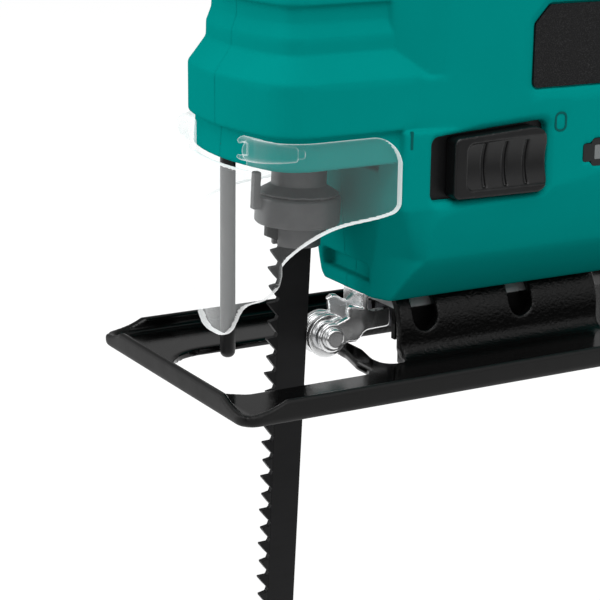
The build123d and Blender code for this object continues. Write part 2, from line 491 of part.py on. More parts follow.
with BuildPart() as roller_bracket:
    for f in (f_near, f_far, f_link_near, f_link_far, f_ear_near, f_ear_far):
        extrude(f, amount=1.2)
    with Locations((-12.8, 0, 9.4)):
        Box(1.2, 7.4, 7.2)
    with Locations((-14.0, 0, 12.4)):
        Box(3.6, 7.4, 1.2)
    with Locations((-14.9, 0, 18.9)):
        Box(1.8, 7.4, 14.2)
    with Locations(Location((ROLLER_X, 0, ROLLER_Z), (90, 0, 0))):
        Cylinder(1.5, 20, mode=Mode.SUBTRACT)
with BuildPart() as roller_pin:
    with Locations(Location((ROLLER_X, 0, ROLLER_Z), (90, 0, 0))):
        Cylinder(1.5, 9.4)
    for y in (4.2, -4.2):
        with Locations(Location((ROLLER_X, y, ROLLER_Z), (90, 0, 0))):
            Cylinder(1.95, 1.0)
    chamfer(roller_pin.edges().filter_by(GeomType.CIRCLE).group_by(Axis.Y)[-1], 0.3)
    chamfer(roller_pin.edges().filter_by(GeomType.CIRCLE).group_by(Axis.Y)[0], 0.3)
with BuildPart() as roller:
    with Locations(Location((ROLLER_X, 0, ROLLER_Z), (90, 0, 0))):
        Cylinder(ROLLER_R, 4.2)
        Cylinder(ROLLER_R + 1, 2.0, mode=Mode.SUBTRACT)
        Cylinder(GROOVE_R, 2.0)
        Cylinder(1.55, 10, mode=Mode.SUBTRACT)

f_shield_out = nose(6.0, 1.55, -9.6)
f_shield_in = nose(6.0, 0.15, -30.0)
side_edge = [(-13.0, 32.1), (-8.6, 31.9), (-7.6, 31.65), (2.2, 30.45), (7.7, 28.85), (10.7, 27.0), (12.9, 24.1)]
front_edge = [(19.6, 27.0), (18.3, 24.2), (17.2, 21.2), (14.8, 17.9), (9.7, 15.4), (7.2, 12.4), (5.5, 10.0), (3.1, 8.75), (0.0, 8.5)]
front_edge = front_edge + [(-y, z) for y, z in reversed(front_edge[:-1])]
f_side_cut = below(XZ(40), side_edge)
f_front_cut = below(YZ(12.9), front_edge)
BOSS_Z, BOSS_OFF = 43.95, 1.3
nose_cx, nose_yc = NOSE_X - NOSE_R, NOSE_W - NOSE_C
nose_xc = nose_cx + sqrt((NOSE_R - NOSE_C) ** 2 - nose_yc ** 2)


def boss_station(deg, r, side, front=False):
    """Round section of a clip boss, square to the shield's outline, at an angle about the arc it follows."""
    a, q = radians(deg), (NOSE_R if front else NOSE_C) + BOSS_OFF
    x, y = (nose_cx, 0.0) if front else (nose_xc, nose_yc)
    return disc(Plane(origin=(x + q * cos(a), side * (y + q * sin(a)), BOSS_Z), x_dir=(0, 0, 1), z_dir=(-sin(a), side * cos(a), 0)), r)


f_boss_in = nose(38.0, 0.8, -30.0)
with BuildPart() as shield_bosses:
    for side in (1, -1):
        loft([boss_station(10.9, 2.15, side, True), boss_station(16.6, 2.0, side), boss_station(33, 1.8, side),
              boss_station(50, 1.55, side), boss_station(64, 1.35, side)])
        extrude(boss_station(63.5, 0.85, side), amount=1.3)
        a = radians(10.9)
        end = Plane(origin=(nose_cx + (NOSE_R + 1.7) * cos(a), side * (NOSE_R + 1.7) * sin(a), BOSS_Z), z_dir=(-sin(a), side * cos(a), 0))
        with Locations(end.location):
            Cylinder(1.15, 4.4, mode=Mode.SUBTRACT)
    extrude(f_boss_in, amount=12, mode=Mode.SUBTRACT)
with BuildSketch(XZ(40)) as rear_top:
    with BuildLine():
        ThreePointArc((-9.6, 40.6), (-7.7, 44.0), (-3.4, 45.6))
        Polyline((-3.4, 45.6), (-3.4, 50.0), (-14.0, 50.0), (-14.0, 40.6), (-9.6, 40.6))
    make_face()
with BuildSketch(XZ(40)) as rear_low:
    with BuildLine():
        ThreePointArc((-9.6, 34.2), (-9.0, 32.4), (-7.4, 31.62))
        Polyline((-7.4, 31.62), (-7.4, 28.0), (-14.0, 28.0), (-14.0, 34.2), (-9.6, 34.2))
    make_face()
with BuildPart() as clear_shield:
    extrude(f_shield_out, amount=39.6)
    extrude(f_shield_in, amount=39.6, mode=Mode.SUBTRACT)
    extrude(f_side_cut, amount=80, mode=Mode.SUBTRACT)
    extrude(f_front_cut, amount=8, mode=Mode.SUBTRACT)
    with Locations((16, 0, 50)):
        Box(12, 21.0, 20.2, mode=Mode.SUBTRACT)
    extrude(rear_top.sketch, amount=80, mode=Mode.SUBTRACT)
    extrude(rear_low.sketch, amount=80, mode=Mode.SUBTRACT)
    add(shield_bosses.part)

# ---------------------------------------------------------------- shoe and bevel clamp
with BuildPart() as shoe:
    mid_x, len_x = (SHOE_FRONT + SHOE_REAR) / 2, SHOE_FRONT - SHOE_REAR
    extrude(rect(Plane.XY, len_x, 2 * SHOE_HALF, 3.4, at=(mid_x, 0)), amount=RIM_H)
    fillet(shoe.faces().sort_by(Axis.Z)[0].edges(), 1.2)
    extrude(rect(Plane.XY.offset(SHOE_T), len_x - 3.2, 2 * SHOE_HALF - 3.2, 1.8, at=(mid_x, 0)), amount=10, mode=Mode.SUBTRACT)
    with BuildSketch(YZ(ARCH_X0)) as arch_sketch:
        with Locations((0, SHOE_T / 2)):
            Rectangle(40, SHOE_T)
        with Locations((0, 3.0)):
            Rectangle(2 * ARCH_R, 6.0)
        with Locations((0, BEVEL_Z)):
            Circle(ARCH_R)
        fillet(arch_sketch.vertices().filter_by(lambda w: abs(abs(w.X) - ARCH_R) < 0.01 and abs(w.Y - SHOE_T) < 0.01), 2.8)
    extrude(amount=ARCH_X1 - ARCH_X0)
    with BuildSketch(YZ(-62.0)):
        with Locations((0, BEVEL_Z)):
            Circle(ARCH_R - ARCH_T)
        with Locations((0, 2.0)):
            Rectangle(2 * (ARCH_R - ARCH_T), 8.0)
    extrude(amount=48.6, mode=Mode.SUBTRACT)
    with Locations((-40, 0, -10)):
        Box(100, 60, 20, mode=Mode.SUBTRACT)
    f_gap = face_on(Plane.XY.offset(-1), [(-16.4, 12.3), (-12.1, 12.3), (-12.0, 7.6), (-13.4, 2.0), (-13.4, -11.6), (-16.4, -11.6)], [0.6, 2.6, 4, 4, 2.0, 0.6])
    extrude(f_gap, amount=4, mode=Mode.SUBTRACT)
    f_open = face_on(Plane.XY.offset(-1), [(22.4, -12.4), (22.4, 12.6), (18.6, 15.5), (-7.7, 15.5), (-7.6, 9.0), (-9.3, 2.2), (-9.8, -12.4)], [8.8, 2.2, 3, 3, 4, 4, 4])
    extrude(f_open, amount=4, mode=Mode.SUBTRACT)
    with Locations((21.3, 5.6, 0)):
        Cylinder(2.3, 8, mode=Mode.SUBTRACT)
    for x in SLOT_X:
        with Locations((x, 0, 8.0 + SLOT_LOW + SLOT_W / 2)):
            Box(SLOT_W, 30, 16.0, mode=Mode.SUBTRACT)
        with Locations(Location((x, 0, SLOT_LOW + SLOT_W / 2), (90, 0, 0))):
            Cylinder(SLOT_W / 2, 30, mode=Mode.SUBTRACT)
    for k in (-1, 1):
        extrude(disc(Plane(origin=(23.0, k * 25.4, RIM_H + 7.1), z_dir=(1, k, 0)), 9.0), amount=9, both=True, mode=Mode.SUBTRACT)
with BuildPart() as clamp_plate:
    extrude(disc(Plane(origin=(-50, 0, BEVEL_Z), x_dir=(0, 1, 0), z_dir=(1, 0, 0)), ARCH_R - ARCH_T - 0.3), amount=33)
    with Locations((-30, 0, 1.9)):
        Box(60, 40, 16, mode=Mode.SUBTRACT)
    for y in (6.6, -6.6):
        with Locations((-33.5, y, 7.2)):
            Box(33, 1.2, 6.0)
    for x in SLOT_X:
        with Locations((x, 0, 10)):
            Cylinder(2.5, 30, mode=Mode.SUBTRACT)
with BuildPart() as bevel_screws:
    for x in SLOT_X:
        with Locations((x, 0, 17.45)):
            Cylinder(2.5, 15.1)
        with Locations((x, 0, 7.65)):
            Cylinder(4.1, 4.5)
        extrude(face_on(Plane.XY.offset(5.0), [(x + 2.2 * cos(i * pi / 3), 2.2 * sin(i * pi / 3)) for i in range(6)]), amount=3.2, mode=Mode.SUBTRACT)

# ---------------------------------------------------------------- switch, board, battery
f_knob = face_on(SIDE_L.offset(-2.2), side_pts(knob_pts), [2.6, 1.2, 1.2, 3.6])
f_stem = face_on(SIDE_L.offset(-5.0), side_pts([(-31.0, 34.0), (-27.0, 34.0), (-27.0, 37.5), (-31.0, 37.5)]), 0.4)
f_panel = face_on(SIDE_L.offset(-1.6), side_pts([(-42.0, 35.1), (-21.4, 35.1), (-21.4, 43.3), (-42.0, 44.4)]), [0, 1.2, 1.2, 0])
f_lines = [face_on(SIDE_L.offset(-1.6), side_pts([(x - 0.5, 35.3), (x, 35.3), (x, 43.2), (x - 0.5, 43.2)])) for x in (-25.0, -29.4, -33.8)]
dish_axis = Plane(origin=SIDE_L.from_local_coords(Vector(0, -39.3, 9.4)), z_dir=SIDE_L.x_dir)
with BuildPart() as knob_dish:
    extrude(f_panel, amount=4)
    with Locations(dish_axis.location):
        Cylinder(9.6, 80, mode=Mode.INTERSECT)
with BuildPart() as knob_lines:
    for f in f_lines:
        extrude(f, amount=4)
    with Locations(dish_axis.location):
        Cylinder(10.05, 80, mode=Mode.INTERSECT)
with BuildPart() as switch_knob:
    extrude(f_knob, amount=3.3)
    add(knob_dish.part, mode=Mode.SUBTRACT)
    add(knob_lines.part, mode=Mode.SUBTRACT)
    extrude(f_stem, amount=3.4)
f_liner = face_on(SIDE_L.offset(-2.6), side_pts([(-38.85, 33.15), (-15.05, 33.35), (-15.05, 44.65), (-38.85, 46.2)]), 1.3)
with BuildPart() as switch_body:
    extrude(f_liner, amount=0.33)
    extrude(f_stem_slot, amount=12, mode=Mode.SUBTRACT)
    with Locations((-32.7, 9.2, 31.0)):
        Box(10.4, 12.2, 12)
    with Locations((-33.0, 6.0, 37.6)):
        Box(6, 3, 1.2)
with BuildPart() as control_board:
    with Locations((-47.0, 0.0, 25.8)):
        Box(16, 26, 1.6)
    for x, y in ((-50, -8), (-50, 0), (-50, 8), (-43, -7)):
        with Locations((x, y, 27.6)):
            Box(4.5, 5.5, 2.0)
with BuildPart() as terminal_block:
    with Locations((-103, 0, BARREL_Z)):
        Box(6, 41.5, 12)
    for y in (-9, 0, 9):
        with Locations((-109.5, y, BARREL_Z)):
            Box(9, 0.8, 6.4)

CELLS = [(-9.6, 48.6), (9.6, 48.6), (0.0, 65.2)]
f_stick = rect(YZ(-158.3), 40.9, 44.4, 13.7, at=(0, BARREL_Z))
f_base = rect(YZ(BATTERY_X), 51.0, 56.0, 16.0, at=(0, BARREL_Z))
with BuildPart() as battery_case:
    extrude(f_base, amount=-158.3 - BATTERY_X)
    fillet(battery_case.edges().group_by(Axis.X)[0], 4.0)
    extrude(f_stick, amount=50.0)
    for y, z in CELLS:
        with Locations(Location((-149.5, y, z), (0, 90, 0))):
            Cylinder(9.2, 65.2, mode=Mode.SUBTRACT)
    for y in (-9, 0, 9):
        with Locations((-112.0, y, BARREL_Z)):
            Box(8.0, 2.0, 7.6, mode=Mode.SUBTRACT)
    for k in (-1, 1):
        with Locations((-171.0, k * 24.0, BARREL_Z)):
            Box(13.0, 9.0, 16.0, mode=Mode.SUBTRACT)
    for z in (40.0, 44.0, 71.0, 75.0):
        with Locations((-178, 0, z)):
            Box(22, 60, 1.0, mode=Mode.SUBTRACT)
with BuildPart() as battery_cells:
    for y, z in CELLS:
        with Locations(Location((-149.5, y, z), (0, 90, 0))):
            Cylinder(9.2, 65.2)
with BuildPart() as battery_button_left:
    with Locations((-171.0, 23.9, BARREL_Z)):
        Box(12.4, 4.0, 15.4)
    fillet(battery_button_left.edges().group_by(Axis.Y)[-1], 0.8)
with BuildPart() as battery_button_right:
    with Locations((-171.0, -23.9, BARREL_Z)):
        Box(12.4, 4.0, 15.4)
    fillet(battery_button_right.edges().group_by(Axis.Y)[0], 0.8)

# ---------------------------------------------------------------- files
left_housing.part.label = "left_housing"
export_step(left_housing.part, "parts/left_housing.step")
right_housing.part.label = "right_housing"
export_step(right_housing.part, "parts/right_housing.step")
housing_screws.part.label = "housing_screws"
export_step(housing_screws.part, "parts/housing_screws.step")
grip_sleeve.part.label = "grip_sleeve"
export_step(grip_sleeve.part, "parts/grip_sleeve.step")
label_plate_left.part.label = "label_plate_left"
export_step(label_plate_left.part, "parts/label_plate_left.step")
label_plate_right.part.label = "label_plate_right"
export_step(label_plate_right.part, "parts/label_plate_right.step")
gauge_window.part.label = "gauge_window"
export_step(gauge_window.part, "parts/gauge_window.step")
gauge_leds.part.label = "gauge_leds"
export_step(gauge_leds.part, "parts/gauge_leds.step")
gear_case.part.label = "gear_case"
export_step(gear_case.part, "parts/gear_case.step")
lower_bush.part.label = "lower_bush"
export_step(lower_bush.part, "parts/lower_bush.step")
plunger_seal.part.label = "plunger_seal"
export_step(plunger_seal.part, "parts/plunger_seal.step")
upper_bush.part.label = "upper_bush"
export_step(upper_bush.part, "parts/upper_bush.step")
gear_axle.part.label = "gear_axle"
export_step(gear_axle.part, "parts/gear_axle.step")
front_bearing.part.label = "front_bearing"
export_step(front_bearing.part, "parts/front_bearing.step")
motor_can.part.label = "motor_can"
export_step(motor_can.part, "parts/motor_can.step")
magnets.part.label = "magnets"
export_step(magnets.part, "parts/magnets.step")
motor_end_cap.part.label = "motor_end_cap"
export_step(motor_end_cap.part, "parts/motor_end_cap.step")
rear_bearing.part.label = "rear_bearing"
export_step(rear_bearing.part, "parts/rear_bearing.step")
motor_shaft.part.label = "motor_shaft"
export_step(motor_shaft.part, "parts/motor_shaft.step")
pinion.part.label = "pinion"
export_step(pinion.part, "parts/pinion.step")
armature_core.part.label = "armature_core"
export_step(armature_core.part, "parts/armature_core.step")
commutator.part.label = "commutator"
export_step(commutator.part, "parts/commutator.step")
cooling_fan.part.label = "cooling_fan"
export_step(cooling_fan.part, "parts/cooling_fan.step")
drive_gear.part.label = "drive_gear"
export_step(drive_gear.part, "parts/drive_gear.step")
crank_pin.part.label = "crank_pin"
export_step(crank_pin.part, "parts/crank_pin.step")
crank_roller.part.label = "crank_roller"
export_step(crank_roller.part, "parts/crank_roller.step")
plunger.part.label = "plunger"
export_step(plunger.part, "parts/plunger.step")
yoke.part.label = "yoke"
export_step(yoke.part, "parts/yoke.step")
clamp_body.part.label = "clamp_body"
export_step(clamp_body.part, "parts/clamp_body.step")
clamp_collar.part.label = "clamp_collar"
export_step(clamp_collar.part, "parts/clamp_collar.step")
clamp_spring.part.label = "clamp_spring"
export_step(clamp_spring.part, "parts/clamp_spring.step")
blade.part.label = "blade"
export_step(blade.part, "parts/blade.step")
guard_rod.part.label = "guard_rod"
export_step(guard_rod.part, "parts/guard_rod.step")
roller_bracket.part.label = "roller_bracket"
export_step(roller_bracket.part, "parts/roller_bracket.step")
roller_pin.part.label = "roller_pin"
export_step(roller_pin.part, "parts/roller_pin.step")
roller.part.label = "roller"
export_step(roller.part, "parts/roller.step")
clear_shield.part.label = "clear_shield"
export_step(clear_shield.part, "parts/clear_shield.step")
shoe.part.label = "shoe"
export_step(shoe.part, "parts/shoe.step")
clamp_plate.part.label = "clamp_plate"
export_step(clamp_plate.part, "parts/clamp_plate.step")
bevel_screws.part.label = "bevel_screws"
export_step(bevel_screws.part, "parts/bevel_screws.step")
switch_knob.part.label = "switch_knob"
export_step(switch_knob.part, "parts/switch_knob.step")
switch_body.part.label = "switch_body"
export_step(switch_body.part, "parts/switch_body.step")
control_board.part.label = "control_board"
export_step(control_board.part, "parts/control_board.step")
terminal_block.part.label = "terminal_block"
export_step(terminal_block.part, "parts/terminal_block.step")
battery_case.part.label = "battery_case"
export_step(battery_case.part, "parts/battery_case.step")
battery_cells.part.label = "battery_cells"
export_step(battery_cells.part, "parts/battery_cells.step")
battery_button_left.part.label = "battery_button_left"
export_step(battery_button_left.part, "parts/battery_button_left.step")
battery_button_right.part.label = "battery_button_right"
export_step(battery_button_right.part, "parts/battery_button_right.step")
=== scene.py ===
import json
import math

import bpy
import bmesh
import numpy as np
import openvdb as vdb
from mathutils import Vector, Matrix

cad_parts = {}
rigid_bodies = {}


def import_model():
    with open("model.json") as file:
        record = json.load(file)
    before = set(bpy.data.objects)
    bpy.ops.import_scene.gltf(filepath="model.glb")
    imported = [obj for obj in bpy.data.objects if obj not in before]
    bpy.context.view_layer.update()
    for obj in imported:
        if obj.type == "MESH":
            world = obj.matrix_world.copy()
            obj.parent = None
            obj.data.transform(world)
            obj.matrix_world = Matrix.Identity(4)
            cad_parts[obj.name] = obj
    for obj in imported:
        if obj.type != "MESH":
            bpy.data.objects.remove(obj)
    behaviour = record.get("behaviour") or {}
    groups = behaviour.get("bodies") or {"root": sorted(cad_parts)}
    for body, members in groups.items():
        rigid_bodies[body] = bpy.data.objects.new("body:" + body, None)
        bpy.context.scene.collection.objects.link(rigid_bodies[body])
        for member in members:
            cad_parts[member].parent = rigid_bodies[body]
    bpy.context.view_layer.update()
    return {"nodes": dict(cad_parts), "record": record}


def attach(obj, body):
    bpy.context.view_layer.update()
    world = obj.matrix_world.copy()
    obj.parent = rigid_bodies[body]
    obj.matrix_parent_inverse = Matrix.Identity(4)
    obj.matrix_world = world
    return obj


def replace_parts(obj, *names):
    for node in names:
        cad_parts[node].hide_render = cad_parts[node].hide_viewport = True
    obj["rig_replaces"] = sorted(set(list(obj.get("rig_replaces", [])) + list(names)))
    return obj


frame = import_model()
NODES = frame["nodes"]
NODE_BODY = {n: b for b, ns in frame["record"]["behaviour"]["bodies"].items() for n in ns}
NODE_SLOT = {s["node"]: s["material_slot"] for s in frame["record"]["subparts"]}

# ------------------------------------------------------------------ level-set helpers (millimetres)


def arrays(o):
    me = o.data
    me.calc_loop_triangles()
    co = np.empty(len(me.vertices) * 3, np.float32)
    me.vertices.foreach_get("co", co)
    t = np.empty(len(me.loop_triangles) * 3, np.int32)
    me.loop_triangles.foreach_get("vertices", t)
    return co.reshape(-1, 3) * 1000, t.reshape(-1, 3).astype(np.uint32)


def level(co, tris=None, quads=None, voxel=0.3, half=6.0):
    kw = {}
    if tris is not None and len(tris):
        kw["triangles"] = np.ascontiguousarray(tris, np.uint32)
    if quads is not None and len(quads):
        kw["quads"] = np.ascontiguousarray(quads, np.uint32)
    return vdb.FloatGrid.createLevelSetFromPolygons(
        np.ascontiguousarray(co, np.float32), transform=vdb.createLinearTransform(voxelSize=voxel), halfWidth=half, **kw)


def dense(grid, lo, shape):
    a = np.empty(shape, np.float32)
    grid.copyToArray(a, ijk=tuple(int(x) for x in lo))
    return a


def from_dense(a, lo, voxel, bg):
    g = vdb.FloatGrid(float(bg))
    g.copyFromArray(np.ascontiguousarray(a, np.float32), ijk=tuple(int(x) for x in lo))
    g.transform = vdb.createLinearTransform(voxelSize=voxel)
    g.gridClass = vdb.GridClass.LEVEL_SET
    return g


def opened(grid, voxel, r, closing=0.0):
    """Rounds outward edges to r, and inward ones to closing."""
    half = r / voxel + 3
    if closing:
        p, t, q = grid.convertToPolygons(isovalue=closing, adaptivity=0.0)
        g = level(p, t, q, voxel, (closing + r) / voxel + 3)
        p, t, q = g.convertToPolygons(isovalue=-closing - r, adaptivity=0.0)
        g = level(p, t, q, voxel, half)
        return g, r
    p, t, q = grid.convertToPolygons(isovalue=-r, adaptivity=0.0)
    return level(p, t, q, voxel, half), r


def sample(a, ijk):
    i = np.floor(ijk).astype(np.int64)
    f = ijk - i
    i = np.clip(i, 0, np.array(a.shape) - 2)
    out = 0
    for dx in (0, 1):
        wx = f[:, 0] if dx else 1 - f[:, 0]
        for dy in (0, 1):
            wy = f[:, 1] if dy else 1 - f[:, 1]
            for dz in (0, 1):
                wz = f[:, 2] if dz else 1 - f[:, 2]
                out = out + wx * wy * wz * a[i[:, 0] + dx, i[:, 1] + dy, i[:, 2] + dz]
    return out


def mesh_from_grid(name, grid, iso, voxel, adaptivity, source=None, seam=None, box=None):
    p, t, q = grid.convertToPolygons(isovalue=iso, adaptivity=adaptivity)
    if source is None:
        lo, hi = grid.evalActiveVoxelBoundingBox()
        lo = np.array(lo) - 1
        a = dense(grid, lo, tuple(np.array(hi) + 2 - lo))
    else:
        a, lo = source
    ijk = p / voxel - lo
    n = np.stack([sample(a, ijk + e) - sample(a, ijk - e) for e in 0.75 * np.eye(3)], 1)
    n /= np.maximum(np.linalg.norm(n, axis=1, keepdims=True), 1e-9)
    if seam:
        k, gap = seam
        flat = (k * p[:, 1] < gap + 0.02) & (sample(a, ijk) < -0.12)
        n[flat] = (0, -k, 0)
    if box is not None:
        p = np.clip(p, box[0], box[1])
    me = bpy.data.meshes.new(name)
    nq, nt = len(q), len(t)
    loops = np.concatenate([np.asarray(q, np.int32).ravel(), np.asarray(t, np.int32).ravel()])
    starts = np.concatenate([np.arange(nq, dtype=np.int32) * 4, nq * 4 + np.arange(nt, dtype=np.int32) * 3])
    me.vertices.add(len(p))
    me.vertices.foreach_set("co", (p / 1000.0).astype(np.float32).ravel())
    me.loops.add(len(loops))
    me.loops.foreach_set("vertex_index", loops)
    me.polygons.add(nq + nt)
    me.polygons.foreach_set("loop_start", starts)
    me.polygons.foreach_set("use_smooth", np.ones(nq + nt, bool))
    me.update(calc_edges=True)
    me.validate()
    f = me.polygons[len(me.polygons) // 2]
    if f.normal.dot(sum((Vector(n[v]) for v in f.vertices), Vector())) < 0:
        me.flip_normals()
    me.update()
    me.normals_split_custom_set_from_vertices(n)
    o = bpy.data.objects.new(name, me)
    bpy.context.scene.collection.objects.link(o)
    return o


def place(o, node, material, extra=()):
    o.data.materials.clear()
    o.data.materials.append(material)
    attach(o, NODE_BODY[node])
    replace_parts(o, node, *extra)
    return o


def soften(node, material, voxel, r, closing=0.0, adaptivity=0.02, top=1e6):
    co, t = arrays(NODES[node])
    g = level(co, t, None, voxel, max(r, closing) / voxel + 3)
    g, iso = opened(g, voxel, r, closing)
    o = mesh_from_grid(node + "_soft", g, iso, voxel, adaptivity, box=(co.min(0), np.minimum(co.max(0), (1e6, 1e6, top))))
    return place(o, node, material)


def halves(voxel, r, gap, adaptivity=0.012):
    """Both housing halves rounded as one body, then parted along the middle, so the edges at the seam stay crisp."""
    co, tr, base = [], [], 0
    for n in ("left_housing", "right_housing"):
        c, t = arrays(NODES[n])
        v = c[t.astype(np.int64)]
        socket = (np.hypot(v[:, :, 0] - 14.3, v[:, :, 1]).max(1) < 1.45) & (v[:, :, 2].min(1) > 39.0)
        keep = (np.abs(v[:, :, 1]).max(1) > 1e-3) & ~socket
        co.append(c)
        tr.append(t[keep] + base)
        base += len(c)
    a = np.radians(np.arange(48) * 7.5)
    co.append(np.stack([np.append(14.3 + 1.42 * np.cos(a), 14.3), np.append(1.42 * np.sin(a), 0.0), np.full(49, 40.3)], 1).astype(np.float32))
    i = np.arange(48)
    tr.append((np.stack([(i + 1) % 48, i, np.full(48, 48)], 1) + base).astype(np.uint32))
    g = level(np.concatenate(co), np.concatenate(tr), None, voxel, r / voxel + 3)
    g, iso = opened(g, voxel, r)
    lo, hi = (np.array(x) for x in g.evalActiveVoxelBoundingBox())
    lo, hi = lo - 2, hi + 2
    mid = int(round(-lo[1]))
    a = dense(g, lo, tuple(hi + 1 - lo)) - iso
    for n, k in (("left_housing", 1), ("right_housing", -1)):
        s = slice(mid - 4, None) if k > 0 else slice(None, mid + 5)
        off = lo + np.array([0, (mid - 4) if k > 0 else 0, 0])
        b = a[:, s, :].copy()
        y = (np.arange(b.shape[1]) + off[1]) * voxel
        np.maximum(b, (gap - k * y)[None, :, None].astype(np.float32), out=b)
        h = from_dense(b, off, voxel, float(b.max()))
        o = mesh_from_grid(n + "_soft", h, 0.0, voxel, adaptivity, (a, lo), (k, gap))
        place(o, n, M["shell"])


# ------------------------------------------------------------------ materials


def lin(r, g, b):
    f = lambda c: (c / 255 / 12.92) if c / 255 <= 0.04045 else ((c / 255 + 0.055) / 1.055) ** 2.4
    return (f(r), f(g), f(b), 1.0)


class Mat:
    def __init__(self, name):
        self.m = bpy.data.materials.new(name)
        self.m.use_nodes = True
        self.t = self.m.node_tree
        self.b = self.t.nodes["Principled BSDF"]
        self.coord = self.t.nodes.new("ShaderNodeTexCoord")

    def n(self, kind, **kw):
        x = self.t.nodes.new(kind)
        for k, v in kw.items():
            if k in x.inputs:
                x.inputs[k].default_value = v
            else:
                setattr(x, k, v)
        return x

    def link(self, a, b):
        self.t.links.new(a, b)

    def noise(self, scale, detail=3.0, rough=0.55, stretch=None):
        src = self.coord.outputs["Object"]
        if stretch:
            mp = self.n("ShaderNodeMapping")
            mp.inputs["Scale"].default_value = stretch
            self.link(src, mp.inputs["Vector"])
            src = mp.outputs["Vector"]
        x = self.n("ShaderNodeTexNoise", Scale=scale, Detail=detail, Roughness=rough)
        self.link(src, x.inputs["Vector"])
        return x.outputs["Fac"]

    def ramp(self, fac, stops):
        r = self.n("ShaderNodeValToRGB")
        e = r.color_ramp.elements
        e[0].position, e[0].color = stops[0][0], stops[0][1]
        e[1].position, e[1].color = stops[-1][0], stops[-1][1]
        for p, c in stops[1:-1]:
            k = e.new(p)
            k.color = c
        self.link(fac, r.inputs["Fac"])
        return r.outputs["Color"]

    def range(self, fac, a, b, c, d):
        r = self.n("ShaderNodeMapRange")
        for i, v in zip(("From Min", "From Max", "To Min", "To Max"), (a, b, c, d)):
            r.inputs[i].default_value = v
        self.link(fac, r.inputs["Value"])
        return r.outputs["Result"]

    def math(self, op, a, b):
        x = self.n("ShaderNodeMath", operation=op)
        for i, v in enumerate((a, b)):
            if isinstance(v, (int, float)):
                x.inputs[i].default_value = v
            else:
                self.link(v, x.inputs[i])
        return x.outputs[0]

    def bump(self, height, strength, distance, normal=None):
        x = self.n("ShaderNodeBump", Strength=strength, Distance=distance)
        self.link(height, x.inputs["Height"])
        if normal is not None:
            self.link(normal, x.inputs["Normal"])
        return x.outputs["Normal"]

    def set(self, **kw):
        for k, v in kw.items():
            self.b.inputs[k.replace("_", " ")].default_value = v
        return self


def vary(c, k):
    return tuple(min(1.0, x * k) for x in c[:3]) + (1.0,)


def plastic(name, c, rough, grain=1800.0, bump=0.12, dist=0.00005, spread=0.06, spec=0.5):
    m = Mat(name)
    m.set(IOR=1.5, Specular_IOR_Level=spec)
    big = m.noise(45.0, 4.0)
    fine = m.noise(grain, 2.0)
    m.link(m.ramp(big, [(0.3, vary(c, 1 - spread)), (0.7, vary(c, 1 + spread))]), m.b.inputs["Base Color"])
    m.link(m.range(m.noise(160.0, 4.0), 0.3, 0.7, rough - 0.05, rough + 0.06), m.b.inputs["Roughness"])
    m.link(m.bump(fine, bump, dist), m.b.inputs["Normal"])
    return m.m


def metal(name, c, rough, scale=700.0, stretch=(1, 1, 1), bump=0.08, dist=0.00004, spread=0.15, metallic=1.0, spec=0.5):
    m = Mat(name)
    m.set(Metallic=metallic, Specular_IOR_Level=spec)
    fine = m.noise(scale, 3.0, 0.6, stretch)
    m.link(m.ramp(m.noise(220.0, 5.0, 0.6, stretch), [(0.3, vary(c, 1 - spread)), (0.7, vary(c, 1 + spread))]), m.b.inputs["Base Color"])
    m.link(m.range(fine, 0.3, 0.7, max(rough - 0.07, 0.03), rough + 0.08), m.b.inputs["Roughness"])
    m.link(m.bump(fine, bump, dist), m.b.inputs["Normal"])
    return m.m


TEAL = (0.0004, 0.262, 0.240, 1.0)
M = {}
M["shell"] = plastic("shell", TEAL, 0.52, 2200.0, 0.07, 0.00004, 0.03, spec=0.0)
# Dark teal for the switch marks: painted shade of the engraved grooves they fill
M["mark_painted_groove_shade"] = plastic("mark_painted_groove_shade", (0.0004, 0.105, 0.096, 1.0), 0.5, spec=0.1)
M["grip"] = plastic("grip", lin(30, 30, 31), 0.72, 1500.0, 0.35, 0.00012, 0.12, spec=0.35)
M["black_plastic"] = plastic("black_plastic", lin(12, 12, 13), 0.38, 2400.0, 0.14, 0.00005, 0.10, spec=0.4)
M["gauge"] = plastic("gauge", lin(30, 32, 32), 0.25, 1500.0, 0.03)
M["led"] = plastic("led", lin(120, 124, 124), 0.4)
M["fan"] = plastic("fan", lin(40, 40, 42), 0.5)
M["board"] = plastic("board", lin(20, 96, 50), 0.35)
M["felt"] = plastic("felt", lin(150, 145, 138), 0.95, 900.0, 0.5, 0.0002)
M["cell"] = plastic("cell", lin(70, 105, 160), 0.3)
M["magnet"] = metal("magnet", lin(70, 70, 72), 0.6, metallic=0.4)
M["can"] = metal("can", lin(120, 120, 124), 0.4)
M["steel"] = metal("steel", lin(190, 190, 192), 0.28)
M["screw_steel"] = metal("screw_steel", lin(96, 96, 100), 0.35)
M["case_metal"] = metal("case_metal", lin(180, 182, 184), 0.42)
M["bronze"] = metal("bronze", lin(186, 140, 80), 0.4)
M["zinc"] = metal("zinc", lin(246, 247, 248), 0.17, 420.0, bump=0.25, dist=0.00008, spread=0.12, metallic=0.95)
M["clamp_steel"] = metal("clamp_steel", lin(98, 97, 98), 0.45, 1500.0, bump=0.10, metallic=0.3)
M["black_rod"] = metal("black_rod", lin(20, 20, 21), 0.36, 1500.0, (1, 1, 0.1), metallic=0.2)
M["blade_steel"] = metal("blade_steel", lin(23, 23, 24), 0.42, 900.0, (0.25, 1, 1), bump=0.1, metallic=0.0, spec=0.14)


